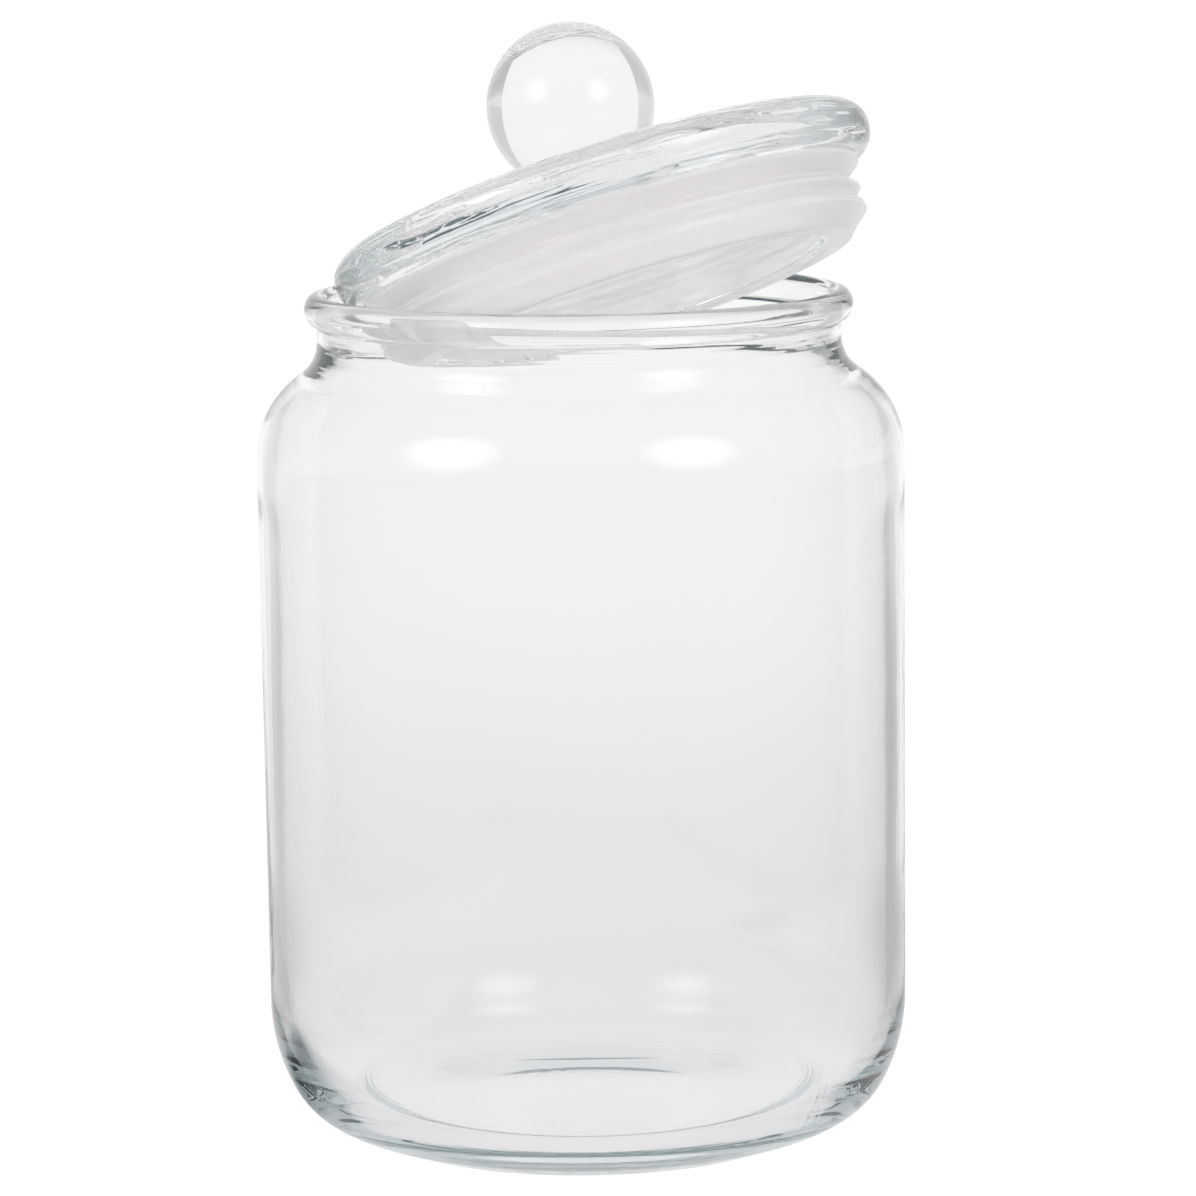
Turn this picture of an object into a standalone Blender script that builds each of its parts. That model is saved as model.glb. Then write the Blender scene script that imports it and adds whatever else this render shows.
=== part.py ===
"""A clear glass storage jar with a glass lid that leans askew in its mouth.

The jar is one blown and pressed glass vessel. The lid is one pressed piece of
glass: a thick rolled rim, a shallow plate, a solid ball knob on top and a
round plug below. A soft white seal ring with two fins sits round the plug.

Lengths are in metres and angles in degrees. +Z is up, the jar's axis is the
Z axis and the foot stands on Z = 0. Every piece is a turned shape.
"""

import math

import bpy

# Driving sizes of the jar
JAR_HEIGHT = 0.1840
BODY_RADIUS = 0.07015
NECK_RADIUS = 0.0567
WALL = 0.0041
NECK_WALL = 0.0025

# The rolled bead round the mouth
BEAD_REACH = 0.00258
BEAD_HEIGHT = 0.0068
BEAD_LIP_DROP = 0.0032
BEAD_CROWN_SHARE = 0.45
BEAD_UNDERCUT = 60

# Neck and shoulder
NECK_HEIGHT = 0.0104
NECK_FILLET = 0.0086
SHOULDER_ROUND = 0.02125
SHOULDER_SLOPE = 52.6
INNER_SHOULDER_THINNING = 0.0009

# Wall and heel
WALL_TAPER = 0.00045
HEEL_HEIGHT = 0.0294
HEEL_UPPER_ROUND = 0.0397
HEEL_LOWER_ROUND = 0.0177
HEEL_TURN = 27
HEEL_CONE = 70

# Foot ring, push-up and floor
FOOT_WIDTH = 0.0026
PUSH_UP_EDGE_RISE = 0.0016
PUSH_UP_EDGE_RUN = 0.0022
PUSH_UP_RISE = 0.0034
BASE_THICKNESS = 0.0052
FLOOR_CROWN = 0.0005
FLOOR_INSET = 0.0150
INNER_HEEL_RISE = 0.0015

# The lid, measured from the middle of its rim's thickness
RIM_OVERHANG = 0.00062
RIM_RISE = 0.0049
RIM_DEPTH = 0.0060
RIM_OUTER_ROUND = 0.0040
RIM_LOWER_ROUND = 0.0054
RIM_INNER_ROUND = 0.0046
PLATE_DISH = 0.0025
PLATE_THICKNESS = 0.0041
PLATE_CROWN = 0.0036
PLUG_WALL = 0.0040
PLUG_DEPTH = 0.0207
PLUG_DRAFT = 0.0005
PLUG_FILLET = 0.0030

# The ball knob
KNOB_RADIUS = 0.0181
KNOB_HEIGHT = 0.02315
KNOB_NECK_RADIUS = 0.0085
KNOB_NECK_FILLET = 0.0050

# The seal ring round the plug
FIT = 0.0003
FIN_REACH = 0.0026
SEAL_WALL = 0.0026
FLANGE_REACH = 0.0040
FLANGE_THICKNESS = 0.0009
FLANGE_CONE = 0.0030
UPPER_FIN_DEPTH = 0.0109
FIN_SPACING = 0.0040
FIN_THICKNESS = 0.0007
FIN_SLOPE = 0.0013
NOTCH_DEPTH = 0.0017
LOWER_FIN_THICKNESS = 0.0013
SEAL_LIP_THICKNESS = 0.0010
SEAL_LIP_REACH = 0.0041
SEAL_TAPER = 0.0021

# How the lid leans in the mouth. The heading is that of its raised side.
LEAN = 21.28
LEAN_HEADING = -38.03
LEAN_INSET = 0.0053
LEAN_SEAT = 0.0040

# Facets round each turned piece, and how near two points on the axis are made one
SEGMENTS = 56
WELD_DISTANCE = 0.000001

# Sizes that follow from the ones above
MOUTH_RADIUS = NECK_RADIUS - NECK_WALL
BEAD_RADIUS = NECK_RADIUS + BEAD_REACH
LID_RADIUS = BEAD_RADIUS + RIM_OVERHANG
FIN_RADIUS = MOUTH_RADIUS - FIT
SEAL_RADIUS = FIN_RADIUS - FIN_REACH
SEAL_BORE = SEAL_RADIUS - SEAL_WALL
PLUG_RADIUS = SEAL_BORE - FIT
CLOSED_HEIGHT = JAR_HEIGHT + FIT + FLANGE_THICKNESS + FIT + RIM_DEPTH
LOWER_FIN_DEPTH = UPPER_FIN_DEPTH + FIN_SPACING

GLASS = {
    "colour": (0.93, 0.97, 0.955, 1),
    "roughness": 0.02,
    "transmission": 1,
    "ior": 1.5,
}
SOFT_WHITE = {
    "colour": (0.93, 0.935, 0.94, 1),
    "roughness": 0.42,
    "transmission": 0.35,
    "ior": 1.45,
}


def arc(centre, radii, start, end, steps):
    """Points on an elliptical arc, from start to end in degrees from +X."""
    points = []
    for step in range(steps + 1):
        angle = math.radians(start + (end - start) * step / steps)
        x = centre[0] + radii[0] * math.cos(angle)
        z = centre[1] + radii[1] * math.sin(angle)
        points.append((x, z))
    return points


def parabola(start, end, steps):
    """Points on a parabola that is level at start, leaving out both ends."""
    points = []
    for step in range(1, steps):
        share = step / steps
        x = start[0] + (end[0] - start[0]) * share
        z = start[1] + (end[1] - start[1]) * share * share
        points.append((x, z))
    return points


def shoulder_curve(wall_radius, upper_round, fillet, neck_radius):
    """The S from a straight wall up into the neck, as (radius, height above the wall's end)."""
    slope = math.radians(SHOULDER_SLOPE)
    upper = arc((wall_radius - upper_round, 0), (upper_round, upper_round), 0, SHOULDER_SLOPE, 6)
    run = upper[-1][0] - neck_radius - fillet * (1 - math.cos(slope))
    neck_height = upper[-1][1] + run / math.tan(slope) + fillet * math.sin(slope)
    centre = (neck_radius + fillet, neck_height)
    lower = arc(centre, (fillet, fillet), 180 + SHOULDER_SLOPE, 180, 4)
    return upper + lower


def heel_curve():
    """The outer heel, from the straight wall down to the foot ring."""
    waist = BODY_RADIUS - WALL_TAPER
    centre = (waist - HEEL_UPPER_ROUND, HEEL_HEIGHT)
    upper = arc(centre, (HEEL_UPPER_ROUND, HEEL_UPPER_ROUND), 0, -HEEL_TURN, 4)
    turn = math.radians(HEEL_TURN)
    centre = (
        upper[-1][0] - HEEL_LOWER_ROUND * math.cos(turn),
        upper[-1][1] + HEEL_LOWER_ROUND * math.sin(turn),
    )
    radii = (HEEL_LOWER_ROUND, HEEL_LOWER_ROUND)
    lower = arc(centre, radii, -HEEL_TURN, -HEEL_CONE, 5)[1:]
    foot = lower[-1][0] - lower[-1][1] * math.tan(math.radians(HEEL_CONE))
    return upper + lower + [(foot, 0)]


def jar_outline():
    """Half section of the jar: up the inside from the floor, over the bead, down the outside."""
    shoulder = shoulder_curve(BODY_RADIUS, SHOULDER_ROUND, NECK_FILLET, NECK_RADIUS)
    shoulder_base = JAR_HEIGHT - NECK_HEIGHT - shoulder[-1][1]
    heel = heel_curve()
    foot_radius = heel[-1][0] - FOOT_WIDTH
    edge_radius = foot_radius - PUSH_UP_EDGE_RUN
    floor_centre = PUSH_UP_RISE + BASE_THICKNESS
    floor_edge = floor_centre - FLOOR_CROWN
    inner_waist = BODY_RADIUS - WALL_TAPER - WALL
    inner_heel_top = HEEL_HEIGHT + INNER_HEEL_RISE

    points = [(0, floor_centre)]
    points += parabola(points[0], (inner_waist - FLOOR_INSET, floor_edge), 3)
    centre = (inner_waist - FLOOR_INSET, inner_heel_top)
    points += arc(centre, (FLOOR_INSET, inner_heel_top - floor_edge), -90, 0, 8)
    inner_shoulder = shoulder_curve(
        BODY_RADIUS - WALL,
        SHOULDER_ROUND - WALL + INNER_SHOULDER_THINNING,
        NECK_FILLET + NECK_WALL,
        MOUTH_RADIUS,
    )
    points += [(r, shoulder_base + z) for r, z in inner_shoulder]

    crown = MOUTH_RADIUS + (BEAD_RADIUS - MOUTH_RADIUS) * BEAD_CROWN_SHARE
    lip = (crown - MOUTH_RADIUS, BEAD_LIP_DROP)
    points += arc((crown, JAR_HEIGHT - BEAD_LIP_DROP), lip, 180, 90, 5)
    half = BEAD_HEIGHT / 2
    roll = (BEAD_RADIUS - crown, half)
    points += arc((crown, JAR_HEIGHT - half), roll, 90, -BEAD_UNDERCUT, 8)[1:]
    points.append((NECK_RADIUS, JAR_HEIGHT - BEAD_HEIGHT))
    points += [(r, shoulder_base + z) for r, z in reversed(shoulder)]
    points += heel
    points.append((foot_radius, 0))
    points.append((edge_radius, PUSH_UP_EDGE_RISE))
    dome = parabola((0, PUSH_UP_RISE), (edge_radius, PUSH_UP_EDGE_RISE), 3)
    points += list(reversed(dome))
    points.append((0, PUSH_UP_RISE))
    return points


def lid_outline():
    """Half section of the lid, from the top of the knob down to the middle of its underside."""
    neck_turn = math.degrees(math.asin(KNOB_NECK_RADIUS / KNOB_RADIUS))
    knob = arc((0, KNOB_HEIGHT), (KNOB_RADIUS, KNOB_RADIUS), 90, -90 + neck_turn, 12)
    points = [(0, KNOB_HEIGHT + KNOB_RADIUS)] + knob[1:]
    neck_base = KNOB_HEIGHT - KNOB_RADIUS * math.cos(math.radians(neck_turn))
    crown_radius = LID_RADIUS - RIM_OUTER_ROUND
    plate_edge = (crown_radius - RIM_INNER_ROUND, RIM_RISE - PLATE_DISH)
    plate_top = plate_edge[1] + PLATE_CROWN - PLATE_DISH / 2
    centre = (KNOB_NECK_RADIUS + KNOB_NECK_FILLET, neck_base)
    points += arc(centre, (KNOB_NECK_FILLET, neck_base - plate_top), 180, 270, 4)[1:]
    dip = (plate_edge[0] - RIM_INNER_ROUND / 2, plate_edge[1] - PLATE_DISH / 2)
    points += parabola(points[-1], dip, 4)
    points.append(dip)
    points += arc((crown_radius, plate_edge[1]), (RIM_INNER_ROUND, PLATE_DISH), 180, 90, 5)
    points += arc((crown_radius, 0), (RIM_OUTER_ROUND, RIM_RISE), 90, 0, 6)[1:]
    under_radius = LID_RADIUS - RIM_LOWER_ROUND
    points += arc((under_radius, 0), (RIM_LOWER_ROUND, RIM_DEPTH), 0, -90, 6)[1:]

    half_wall = PLUG_WALL / 2
    end_radius = PLUG_RADIUS - PLUG_DRAFT
    points.append((PLUG_RADIUS, -RIM_DEPTH))
    centre = (end_radius - half_wall, -PLUG_DEPTH + half_wall)
    points += arc(centre, (half_wall, half_wall), 0, -180, 6)
    plate_under = plate_top - PLATE_THICKNESS
    plug_bore = end_radius - PLUG_WALL - PLUG_DRAFT
    under_edge = plate_under - PLATE_CROWN
    centre = (plug_bore - PLUG_FILLET, under_edge - PLUG_FILLET)
    points += arc(centre, (PLUG_FILLET, PLUG_FILLET), 0, 90, 3)
    points += list(reversed(parabola((0, plate_under), (centre[0], under_edge), 4)))
    points.append((0, plate_under))
    return points


def seal_outline():
    """Closed half section of the seal ring, measured from the middle of the lid's rim."""
    top = -RIM_DEPTH - FIT
    flange_under = top - FLANGE_THICKNESS
    upper_fin = -UPPER_FIN_DEPTH
    lower_fin = -LOWER_FIN_DEPTH
    lip_top = -PLUG_DEPTH - FIT
    bottom = lip_top - SEAL_LIP_THICKNESS
    notch_radius = FIN_RADIUS - NOTCH_DEPTH
    notch_top = upper_fin - FIN_SLOPE - FIN_THICKNESS - FIN_SLOPE
    lower_fin_under = lower_fin - FIN_SLOPE - LOWER_FIN_THICKNESS
    return [
        (SEAL_BORE, top),
        (SEAL_RADIUS + FLANGE_REACH, top),
        (SEAL_RADIUS + FLANGE_REACH, flange_under),
        (SEAL_RADIUS, flange_under - FLANGE_CONE),
        (SEAL_RADIUS, upper_fin),
        (FIN_RADIUS, upper_fin - FIN_SLOPE),
        (FIN_RADIUS, upper_fin - FIN_SLOPE - FIN_THICKNESS),
        (notch_radius, notch_top),
        (notch_radius, lower_fin),
        (FIN_RADIUS, lower_fin - FIN_SLOPE),
        (FIN_RADIUS, lower_fin_under),
        (SEAL_RADIUS, (lower_fin_under + bottom) / 2),
        (SEAL_RADIUS - SEAL_TAPER, bottom),
        (SEAL_BORE - SEAL_LIP_REACH, bottom),
        (SEAL_BORE - SEAL_LIP_REACH, lip_top),
        (SEAL_BORE, lip_top),
    ]


def material(name, look):
    made = bpy.data.materials.new(name)
    made.use_nodes = True
    made.diffuse_color = look["colour"]
    shader = made.node_tree.nodes["Principled BSDF"]
    shader.inputs["Base Color"].default_value = look["colour"]
    shader.inputs["Roughness"].default_value = look["roughness"]
    shader.inputs["Transmission Weight"].default_value = look["transmission"]
    shader.inputs["IOR"].default_value = look["ior"]
    shader.inputs["Metallic"].default_value = 0
    return made


def turned(name, outline, look, collection, closed=False):
    """An object turned about its own Z axis from a half section."""
    mesh = bpy.data.meshes.new(name)
    edges = [(i, i + 1) for i in range(len(outline) - 1)]
    if closed:
        edges.append((len(outline) - 1, 0))
    mesh.from_pydata([(x, 0, z) for x, z in outline], edges, [])
    piece = bpy.data.objects.new(name, mesh)
    mesh.materials.append(material(name, look))
    collection.objects.link(piece)
    screw = piece.modifiers.new("Turn", "SCREW")
    screw.axis = "Z"
    screw.angle = math.tau
    screw.steps = SEGMENTS
    screw.render_steps = SEGMENTS
    screw.use_merge_vertices = True
    screw.merge_threshold = WELD_DISTANCE
    screw.use_smooth_shade = True
    return piece


def lean_pivot():
    """The hinge point that carries the closed lid into its leaning place.

    It is (distance out towards the raised side, height), found where the
    perpendicular through the middle of the lid's travel gives the lean angle.
    """
    lean = math.radians(LEAN)
    out = LID_RADIUS * math.cos(lean) - MOUTH_RADIUS + LEAN_INSET
    height = JAR_HEIGHT + LOWER_FIN_DEPTH * math.cos(lean) + LEAN_SEAT
    rise = height - CLOSED_HEIGHT
    reach = 1 / math.tan(lean / 2)
    return (out - rise * reach) / 2, (height + CLOSED_HEIGHT + out * reach) / 2


def clear_scene():
    for item in list(bpy.data.objects):
        bpy.data.objects.remove(item, do_unlink=True)


def build():
    clear_scene()
    collection = bpy.data.collections.new("glass_jar")
    bpy.context.scene.collection.children.link(collection)

    turned("jar_body", jar_outline(), GLASS, collection)

    pivot_out, pivot_height = lean_pivot()
    heading = math.radians(LEAN_HEADING)
    hinge = bpy.data.objects.new("lid_tilt_axis", None)
    hinge.location = (
        pivot_out * math.cos(heading),
        pivot_out * math.sin(heading),
        pivot_height,
    )
    hinge.rotation_euler = (0, -math.radians(LEAN), heading)
    collection.objects.link(hinge)

    for name, outline, look, closed in (
        ("lid_seal", seal_outline(), SOFT_WHITE, True),
        ("glass_lid", lid_outline(), GLASS, False),
    ):
        piece = turned(name, outline, look, collection, closed)
        piece.parent = hinge
        piece.location = (-pivot_out, 0, CLOSED_HEIGHT - pivot_height)


build()
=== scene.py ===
"""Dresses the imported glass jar: finer glass, a milky seal ring and a white studio.

Lengths are in metres. The jar's axis is the world's Z axis and its foot is on Z = 0.
"""

import math

import bmesh
import bpy
from mathutils import Euler, Matrix, Vector, noise


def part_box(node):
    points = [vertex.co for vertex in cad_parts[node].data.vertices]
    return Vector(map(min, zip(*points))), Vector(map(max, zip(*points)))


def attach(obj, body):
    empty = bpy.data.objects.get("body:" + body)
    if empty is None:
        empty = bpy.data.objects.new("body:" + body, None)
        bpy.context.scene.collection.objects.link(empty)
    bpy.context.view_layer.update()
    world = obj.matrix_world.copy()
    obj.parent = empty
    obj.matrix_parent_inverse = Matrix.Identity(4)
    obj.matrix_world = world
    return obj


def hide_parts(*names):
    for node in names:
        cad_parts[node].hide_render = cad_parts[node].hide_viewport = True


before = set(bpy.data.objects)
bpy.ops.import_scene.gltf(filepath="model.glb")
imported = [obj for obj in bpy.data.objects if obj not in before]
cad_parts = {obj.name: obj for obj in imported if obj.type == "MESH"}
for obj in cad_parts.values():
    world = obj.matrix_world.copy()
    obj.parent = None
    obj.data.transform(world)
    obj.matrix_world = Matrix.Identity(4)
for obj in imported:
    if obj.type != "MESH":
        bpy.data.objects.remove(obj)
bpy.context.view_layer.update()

bl_info = {
    "name": "Glass storage jar",
    "version": (1, 0, 0),
    "blender": (4, 5, 0),
    "location": "View3D > Sidebar > Glass jar",
    "description": "Models a clear glass storage jar with a leaning ball-knob lid",
    "category": "Add Mesh",
}

JAR_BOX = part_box("jar_body")

# Points closer than this are merged, and edges shorter than this are dissolved
WELD = 0.000001
SHORTEST_EDGE = 0.0000001
# A rounded corner takes less than half of each edge beside it
CORNER_LIMIT = 2.2

# The bead's crown stands this share of the way from the mouth to the bead's edge
BEAD_CROWN_SHARE = 0.45
BEAD_UNDERCUT = math.radians(60)
BEAD_ROOT_ROUND = 0.00025
# The two fine rings at the floor's edge: how far in from it, and half their width
FLOOR_RINGS = (0.0017, 0.0004)
FLOOR_RING_HALF = 0.00022
PUSH_UP_STEPS = 30

# The jar's ripple on its wall and at its shoulder: cycles per metre along X, Y and Z
WALL_WAVES = Vector((32, 32, 20))
SHOULDER_WAVES = Vector((16, 16, 95))
# The heights between which each of them grows
WALL_WAVES_RISE = (0.03, 0.06)
SHOULDER_WAVES_RISE = (0.128, 0.142)
# Its strength on the outer face, low on the wall and at the shoulder
OUTER_RIPPLE = 0.10
LOW_RIPPLE = 0.25
SHOULDER_RIPPLE = 2.4
# How far outwards the normal looks on an inner face, at most, and on an outer one, at least
INNER_FACING = (-0.35, 0.05)
# How far up it looks on the floor, at least
FLOOR_FACING = 0.3

# The lid's ripple, crumpled or drawn out: size round the ring and cycles per metre across it
CRUMPLE = (5, 420)
DRAWN_OUT = (1.6, 380)
# Height counts this much more than reach across the rim
RIM_SLANT = 1.3
# The radii between which the rim starts, and how far its top looks up
RIM_START = (0.049, 0.053)
RIM_TOP_FACING = (-0.1, 0.5)
# The crumple's strength on the plate, what the rim adds and its top takes away
PLATE_CRUMPLE = 0.03
RIM_CRUMPLE = 1.17
RIM_TOP_LOSS = 0.6
RIM_TOP_DRAWN = 1.1

# Fine grain in the surface of each glass: cycles per metre and height
JAR_GRAIN = (90, 0.00002)
LID_GRAIN = (140, 0.000015)
GRAIN_DETAIL = 2
# Lines drawn in the jar's neck: cycles per metre, the heights between which they start,
# and height of their relief
JAR_LINES = (22, 22, 480)
JAR_LINES_RISE = (0.158, 0.168)
JAR_LINES_HEIGHT = 0.00016
# Lines drawn round the lid's rim: size round the ring and cycles per metre across it, the
# radii between which they start, and height
LID_LINES = (1.7, 430)
LID_LINES_START = (0.046, 0.052)
LID_LINES_HEIGHT = 0.00008
LINES_DETAIL = 0.8
# The mould seam on two opposite sides: the bearing square to it, half its width, and height
SEAM_BEARING = math.radians(48)
SEAM_HALF = 0.0009
SEAM_HEIGHT = 0.000010
# The lid's glass is clearer than the jar's
LID_DENSITY_SHARE = 0.35
# Warm streaks round the seal: size round the ring and cycles per metre across it, detail,
# and the noise that gives the plain colour and the warm one
SEAL_STREAKS = (1.6, 260)
SEAL_DETAIL = 2
SEAL_WARMTH = (0.45, 0.75)
# The finish of the glass, and of the seal's satin plastic, in which light spreads
GLASS_FINISH = {"Roughness": 0, "IOR": 1.51, "Transmission Weight": 1}
SEAL_FINISH = {
    "Roughness": 0.3,
    "IOR": 1.4,
    "Transmission Weight": 0.42,
    "Subsurface Weight": 0.8,
    "Subsurface Radius": (1, 1, 1),
    "Subsurface Scale": 0.004,
}

# The camera's place, its turn, its focal length as a share of the picture's width, and clipping
CAMERA_PLACE = (0, -1.1545, 0.2903)
CAMERA_YAW = math.radians(0.165)
CAMERA_PITCH = math.radians(8.557)
CAMERA_ROLL = math.radians(-0.775)
LENS_SHARE = 5363.5 / 1196
SENSOR = 36
CLIP = (0.05, 50)

# Thick clear glass turns light round many times inside before it lets it out
GLASS_BOUNCES = 48
DIFFUSE_BOUNCES = 12

WHITE = (1, 1, 1, 1)
# The tent round the object, which glass and gloss see: brightness at the left, right and
# front and overhead, and where along X, Y and Z each turns into the next
TENT = {
    "left": 0.76,
    "right": 0.66,
    "front": 0.55,
    "beyond": 0.72,
    "sides": (-0.6, 0.6),
    "front_end": (-0.9, -0.1),
    "beyond_start": (0.15, 0.7),
}
# The floor in the same way, in metres, with its far part in place of overhead
FLOOR = {
    "left": 0.60,
    "right": 0.50,
    "front": 0.55,
    "beyond": 0.80,
    "sides": (-0.2, 0.2),
    "front_end": (-0.5, -0.2),
    "beyond_start": (0.4, 1.2),
}
FLOOR_RADIUS = 6
FLOOR_ROUGHNESS = 0.9
# The floor's white to the camera, and how much of it covers the paper's own shade
FLOOR_WHITE = 1.06
FLOOR_WHITE_SHARE = 0.9
# The two round softboxes: bearing, height, distance, radius and brightness
SOFTBOXES = ((-49, 0.42, 0.5, 0.23, 3.6), (41, 0.42, 0.5, 0.22, 3.6))

# The white sweep behind the object: half width, distance, top and radius of its bend
SWEEP_HALF = 0.165
SWEEP_BACK = 0.20
SWEEP_TOP = 0.50
SWEEP_BEND = 0.04
# Its brightness low down and high up, the heights between which that changes, and its tint
SWEEP_LOW = 0.84
SWEEP_HIGH = 0.98
SWEEP_RISE = (0, 0.105)
SWEEP_TINT = (1.012, 0.992, 1.006)
# Sweep and floor lie just under the foot, so light leaves the foot ring by its own face
SWEEP_CLEAR = -0.0004
FLOOR_CLEAR = -0.0008
# A painted shadow: a soft dark patch on the sweep at the left of the object, in place of the
# jar's contact shadow, and its cool tint
PAINTED_SHADOW_DEPTH = 0.78
PAINTED_SHADOW_PLACE = (-0.087, 0.014)
PAINTED_SHADOW_TURN = math.radians(-48)
PAINTED_SHADOW_HALF = (0.054, 0.023)
PAINTED_SHADOW_CORE = 0.1
PAINTED_SHADOW_TINT = (0.86, 1.0, 1.04)
# The sweep is darker low at its two sides, and towards its front edge
SIDE_SHADE = 0.40
SIDE_START = (0.085, 0.15)
SIDE_FADE = (0.001, 0.02)
FRONT_SHADE = 0.33
FRONT_END = -0.06


def length(name, default, note):
    """A property that holds a length in metres."""
    return bpy.props.FloatProperty(
        name=name, description=note, default=default, unit="LENGTH", precision=5
    )


def turn(name, default, note):
    """A property that holds an angle, given here in degrees."""
    return bpy.props.FloatProperty(
        name=name, description=note, default=math.radians(default), subtype="ANGLE"
    )


def tint(name, default, note):
    """A property that holds a colour."""
    return bpy.props.FloatVectorProperty(
        name=name, description=note, default=default, subtype="COLOR", min=0, max=1
    )


class GlassJarSizes(bpy.types.PropertyGroup):
    """Sizes of the jar."""

    height: length("Height", JAR_BOX[1][2], "Foot to the top of the bead")
    body_radius: length("Body radius", JAR_BOX[1][0], "Outer radius below the shoulder")
    neck_radius: length("Neck radius", 0.0567, "Outer radius of the neck")
    wall: length("Wall", 0.0041, "Thickness of the body's wall")
    neck_wall: length("Neck wall", 0.0025, "Thickness of the neck's wall")
    bead_reach: length("Bead reach", 0.00258, "How far the bead stands out from the neck")
    bead_height: length("Bead height", 0.0068, "Height of the bead")
    lip_drop: length("Lip drop", 0.0032, "Height of the bead's rounded inner edge")
    neck_height: length("Neck height", 0.0104, "Top of the bead to the end of the neck")
    neck_fillet: length("Neck fillet", 0.0086, "Radius between neck and shoulder")
    neck_fillet_inside: length("Inner neck fillet", 0.0108, "The same radius inside")
    shoulder_round: length("Shoulder round", 0.02125, "Radius of the shoulder")
    shoulder_slope: turn("Shoulder slope", 52.6, "Turn from the wall to the shoulder's slope")
    thinning: length("Shoulder thinning", 0.0018, "Wall lost at the shoulder")
    wall_taper: length("Wall taper", 0.00045, "How much narrower the body is low down")
    heel_height: length("Heel height", 0.0294, "Foot to the start of the wall")
    heel_upper: length("Upper heel round", 0.0397, "Radius of the heel's upper arc")
    heel_lower: length("Lower heel round", 0.0177, "Radius of the heel's lower arc")
    heel_turn: turn("Heel turn", 27, "Turn of the upper arc")
    heel_cone: turn("Heel cone", 70, "Slope of the cone that meets the foot, from upright")
    foot_width: length("Foot width", 0.0026, "Width of the foot ring")
    push_up: length("Push-up", 0.0034, "Rise of the underside at the axis")
    base: length("Base", 0.0052, "Glass thickness at the axis")
    crease: length("Floor crease", 0.00010, "Height of the two fine rings at the floor's edge")
    floor_crown: length("Floor crown", 0.0005, "Rise of the floor at the axis")
    floor_inset: length("Floor inset", 0.0150, "Wall to the flat part of the floor")
    inner_heel: length("Inner heel rise", 0.0015, "Start of the inner curve above the outer one")
    ripple: length("Ripple", 0.00010, "Unevenness of the blown inner surface")
    segments: bpy.props.IntProperty(
        name="Segments", description="Facets round the jar", default=288, min=32
    )


class GlassLidSizes(bpy.types.PropertyGroup):
    """Sizes of the lid, measured from the middle of its rim's thickness."""

    radius: length("Radius", 0.0599, "Outer radius of the rim")
    rise: length("Rim rise", 0.0049, "Middle of the rim to its top")
    depth: length("Rim depth", 0.0060, "Middle of the rim to its underside")
    outer_round: length("Outer round", 0.0040, "Width of the rim's upper curve")
    lower_round: length("Lower round", 0.0054, "Width of the rim's lower curve")
    inner_round: length("Inner round", 0.0046, "Width of the curve down to the plate")
    dish: length("Dish", 0.0025, "Drop from the rim to the plate")
    plate: length("Plate", 0.0041, "Thickness of the plate")
    crown: length("Plate crown", 0.0036, "Rise of the plate towards the knob")
    plug_radius: length("Plug radius", 0.0484, "Outer radius of the plug")
    plug_wall: length("Plug wall", 0.0040, "Thickness of the plug's wall")
    plug_depth: length("Plug depth", 0.0207, "Middle of the rim to the plug's end")
    draft: length("Plug draft", 0.0005, "How much the plug narrows")
    fillet: length("Plug fillet", 0.0030, "Radius between plug and plate")
    knob_radius: length("Knob radius", 0.0181, "Radius of the ball")
    knob_height: length("Knob height", 0.02315, "Middle of the rim to the ball's centre")
    knob_neck: length("Knob neck", 0.0085, "Radius of the ball's neck")
    neck_fillet: length("Neck fillet", 0.0050, "Radius between neck and plate")
    ripple: length("Ripple", 0.00012, "Unevenness of the pressed surface")
    segments: bpy.props.IntProperty(
        name="Segments", description="Facets round the lid", default=320, min=32
    )


class GlassSealSizes(bpy.types.PropertyGroup):
    """Sizes of the seal ring, measured from the middle of the lid's rim."""

    fit: length("Fit", 0.0003, "Gap to the glass")
    bore: length("Bore", 0.0487, "Inner radius")
    barrel: length("Barrel", 0.0513, "Outer radius between the fins")
    fin_radius: length("Fin radius", 0.0539, "Outer radius of the fins")
    flange_radius: length("Flange radius", 0.0553, "Outer radius of the flange")
    flange: length("Flange", 0.0009, "Thickness of the flange")
    flange_cone: length("Flange cone", 0.0030, "Height of the cone below the flange")
    upper_fin: length("Upper fin", 0.0109, "Depth of the upper fin")
    spacing: length("Fin spacing", 0.0040, "Upper fin to lower fin")
    fin: length("Fin", 0.0007, "Thickness of the upper fin's edge")
    lower: length("Lower fin", 0.0013, "Thickness of the lower fin's edge")
    slope: length("Fin slope", 0.0013, "Drop of a fin from its root to its edge")
    notch: length("Notch", 0.0017, "Depth of the groove between the fins")
    lip: length("Lip", 0.0010, "Thickness of the lip under the plug")
    lip_reach: length("Lip reach", 0.0041, "How far the lip reaches under the plug")
    taper: length("Taper", 0.0021, "How much the lower end narrows")
    soften: length("Soften", 0.00022, "Radius of the rounded edges")
    segments: bpy.props.IntProperty(
        name="Segments", description="Facets round the ring", default=256, min=32
    )


class GlassJarPose(bpy.types.PropertyGroup):
    """How the lid leans in the mouth."""

    lean: turn("Lean", 21.28, "Tilt of the lid from level")
    heading: turn("Heading", -38.03, "Where the raised side points, from +X")
    out: length("Out", 0.006915896, "Rim's centre from the jar's axis, towards the raised side")
    height: length("Height", 0.201884088, "Height of the rim's centre")


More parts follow.
